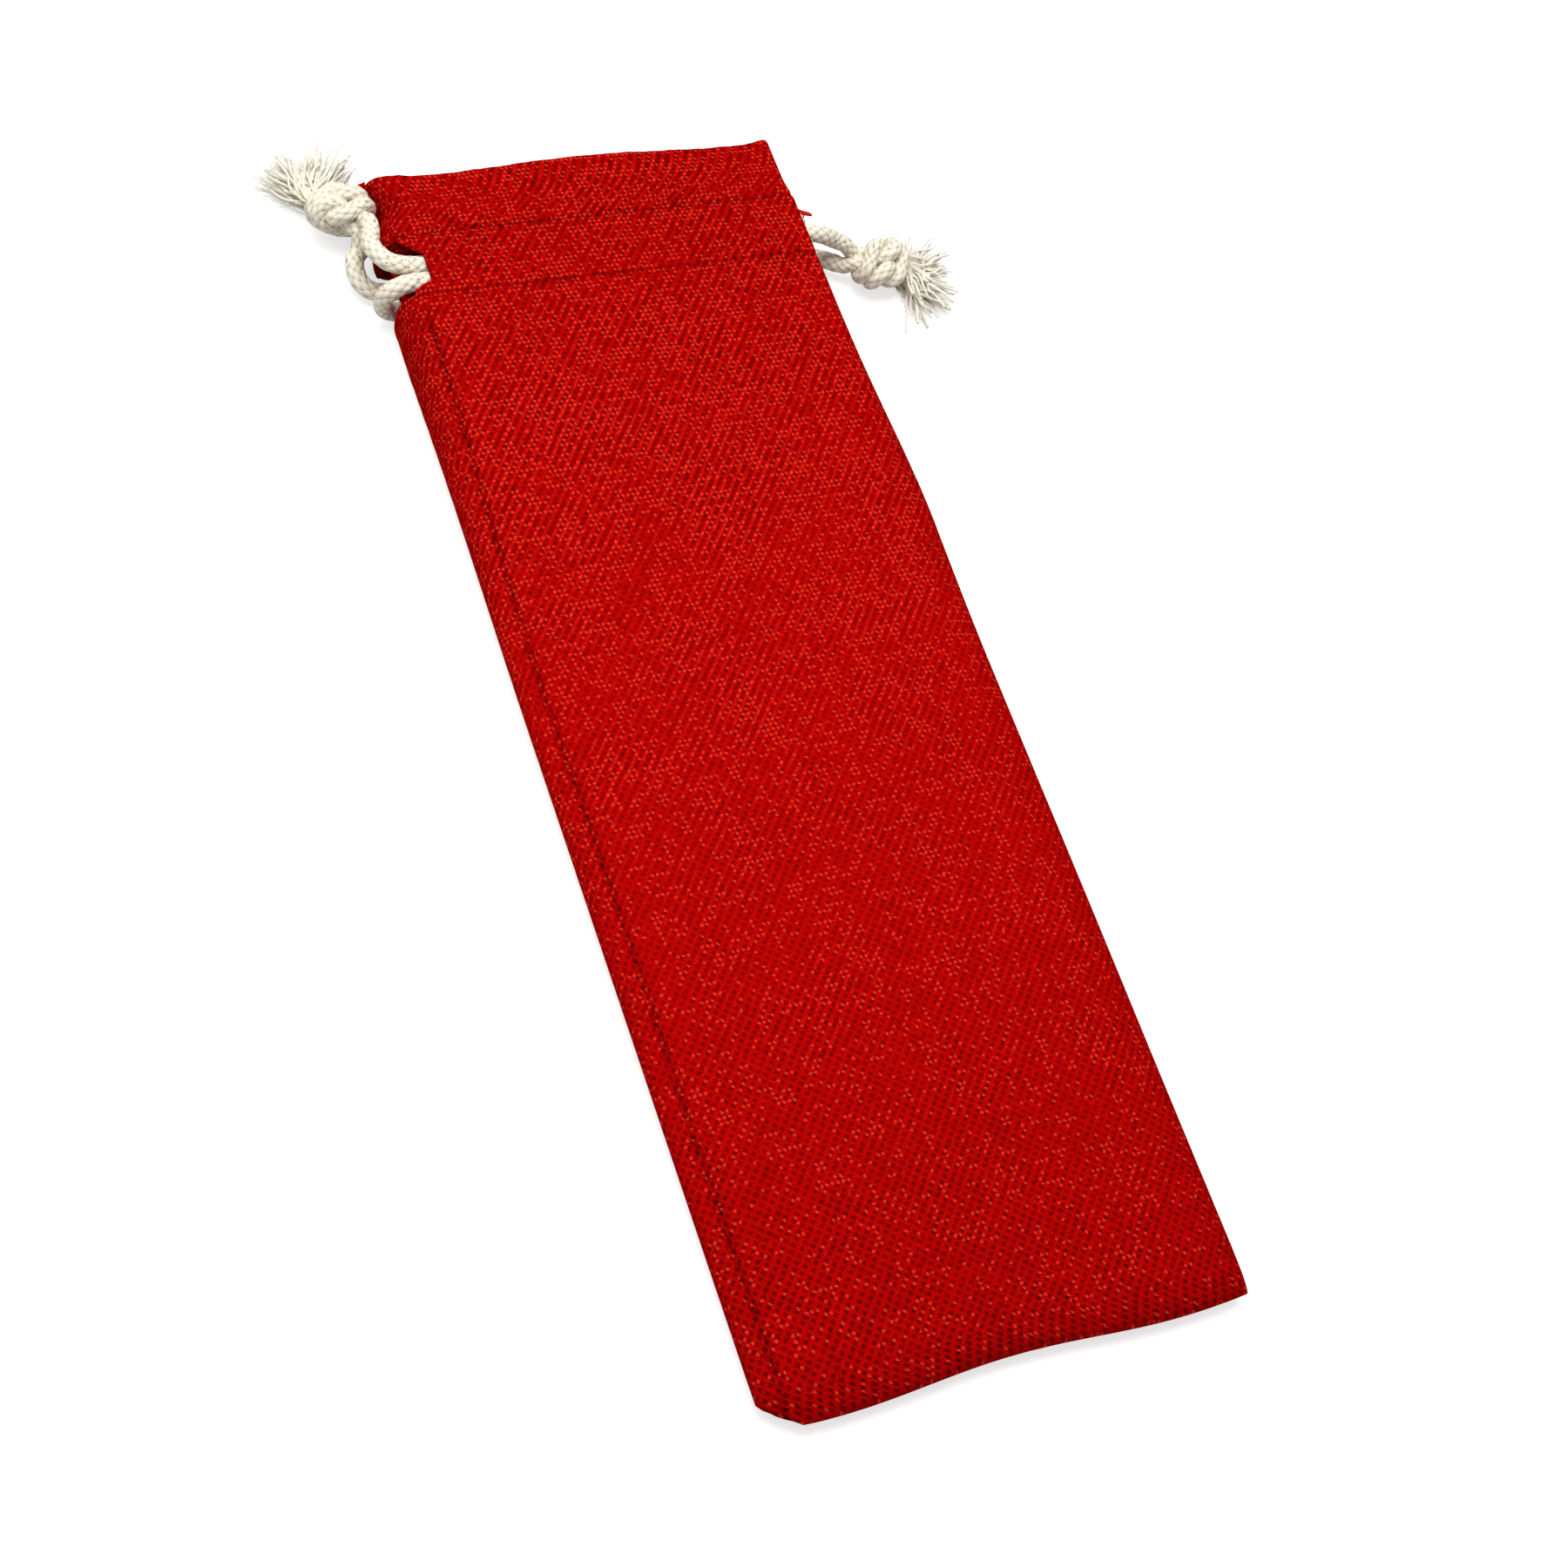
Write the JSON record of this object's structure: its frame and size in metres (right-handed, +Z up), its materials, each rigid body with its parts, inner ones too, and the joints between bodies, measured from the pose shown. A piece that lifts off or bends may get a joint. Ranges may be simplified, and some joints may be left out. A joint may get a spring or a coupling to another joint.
{
  "type": "drawstring pouch",
  "caption": "Long flat cloth pouch with a stitched casing below its open mouth and two cotton drawcords, each knotted and frayed at one side",
  "frame": {"origin": "middle of the pouch's box, on the surface it lies on, measured without the drawcords, knots and frayed ends", "axes": "+Y along the pouch towards its mouth, +X across it to the right as seen from above, +Z up from the back face it lies on"},
  "size_m": [0.1419, 0.2612, 0.0158],
  "materials": {
    "red_cloth": "matt coarse plain weave, dyed red",
    "ivory_cotton": "braided ivory cotton cord with small dark flecks",
    "loose_cotton": "loose fine cotton fibres"
  },
  "bodies": {
    "root": {"pouch_body": "red_cloth", "left_drawcord": "ivory_cotton", "right_drawcord": "ivory_cotton", "left_knot": "ivory_cotton", "right_knot": "ivory_cotton", "left_frayed_ends": "loose_cotton", "right_frayed_ends": "loose_cotton"}
  },
  "joints": []
}
